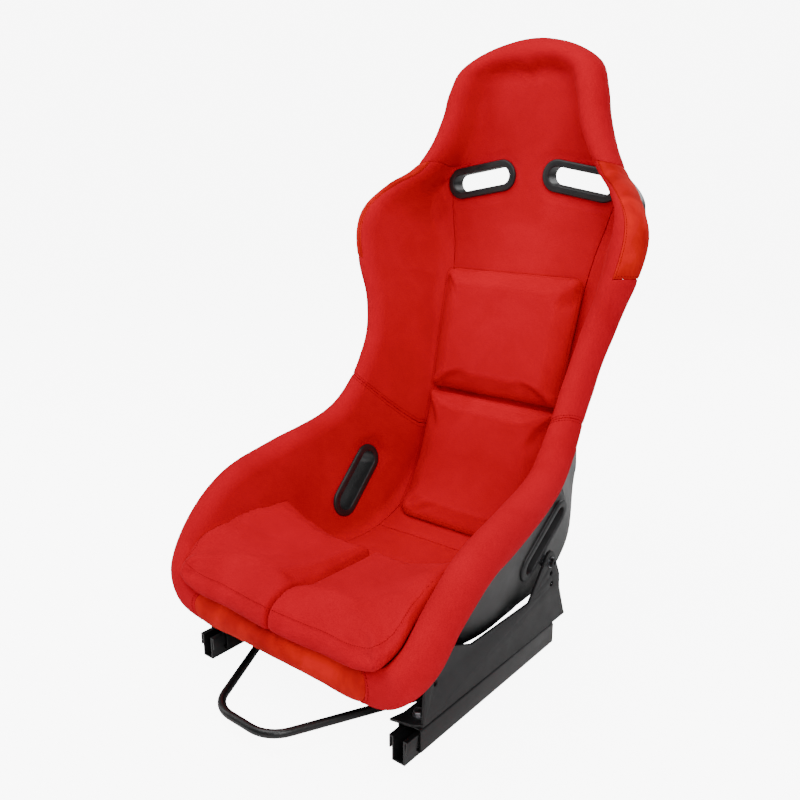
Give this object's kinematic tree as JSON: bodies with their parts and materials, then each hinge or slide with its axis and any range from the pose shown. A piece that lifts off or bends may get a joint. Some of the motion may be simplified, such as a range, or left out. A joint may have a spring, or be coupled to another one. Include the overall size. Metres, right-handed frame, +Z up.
{
  "type": "racing seat",
  "caption": "Fixed-back bucket racing seat with wrapped shell, back pads, thigh lobes and harness slots, on steel side brackets and sliding floor rails with a lift bar.",
  "frame": {"origin": "centre of the floor bolt pattern, on the underside of the lower rails", "axes": "+Z up, the seat faces -Y, +X is the occupant's left"},
  "size_m": [0.548, 0.7166, 0.9389],
  "materials": {
    "shell_gelcoat": "satin black gelcoat over laminate",
    "red_cloth": "fine stretch cloth over foam",
    "red_suede": "brushed suede cloth with blotchy nap",
    "pad_cloth": "fine stretch cloth over foam",
    "bezel_plastic": "satin dark grey moulding",
    "bracket_paint": "satin black powder coat",
    "rail_paint": "semi-gloss black paint",
    "handle_paint": "semi-gloss black paint",
    "black_bolt": "black oxide",
    "ball_steel": "polished bearing steel",
    "spring_steel": "spring steel",
    "zinc_steel": "bright zinc plate"
  },
  "bodies": {
    "floor_rails": {"lower_rail_left": "rail_paint", "lower_rail_right": "rail_paint", "rail_stop_rivets": "zinc_steel"},
    "seat": {"seat_shell": "shell_gelcoat", "head_cover": "red_cloth", "back_panel_cover": "red_cloth", "back_bolster_left": "red_cloth", "back_bolster_right": "red_cloth", "shoulder_patch_left": "red_suede", "shoulder_patch_right": "red_suede", "thigh_bolster_left": "red_cloth", "thigh_bolster_right": "red_cloth", "seat_base_cover": "red_cloth", "front_lip_cover": "red_suede", "back_pad_upper": "pad_cloth", "back_pad_lower": "pad_cloth", "thigh_pad_left": "pad_cloth", "thigh_pad_right": "pad_cloth", "shoulder_bezels_front": "bezel_plastic", "shoulder_bezels_rear": "bezel_plastic", "lap_bezels_inner": "bezel_plastic", "lap_bezels_outer": "bezel_plastic", "side_bracket_left": "bracket_paint", "side_bracket_right": "bracket_paint", "upper_rail_left": "rail_paint", "upper_rail_right": "rail_paint", "shell_inserts": "zinc_steel", "seat_bolts": "black_bolt", "seat_bolt_washers": "zinc_steel", "bracket_spacers": "zinc_steel", "bracket_bolts": "zinc_steel", "bracket_bolt_washers": "zinc_steel", "bracket_nuts": "zinc_steel", "latch_bracket_left": "rail_paint", "latch_bracket_right": "rail_paint", "latch_pins": "zinc_steel", "pin_clips": "zinc_steel", "return_springs": "spring_steel"},
    "release_handle": {"release_handle": "handle_paint", "latch_lever_left": "rail_paint", "latch_lever_right": "rail_paint"},
    "ball_cages": {"ball_cage_left": "spring_steel", "ball_cage_right": "spring_steel", "rail_balls_left": "ball_steel", "rail_balls_right": "ball_steel"}
  },
  "joints": [
    {"name": "seat_slide", "type": "slide", "parent": "floor_rails", "child": "seat", "axis": [0, 1, 0], "range_m": [-0.1, 0.06]},
    {"name": "cage_slide", "type": "slide", "parent": "floor_rails", "child": "ball_cages", "axis": [0, 1, 0], "range_m": [-0.05, 0.03]},
    {"name": "handle_lift", "type": "hinge", "parent": "seat", "child": "release_handle", "pos_m": [0, -0.01, 0.026], "axis": [-1, 0, 0], "range_deg": [0, 10], "stiffness_Nm_per_rad": 5, "springref_deg": -17.19}
  ],
  "couplings": [
    {"joint": "cage_slide", "follows": "seat_slide", "ratio": 0.5}
  ]
}
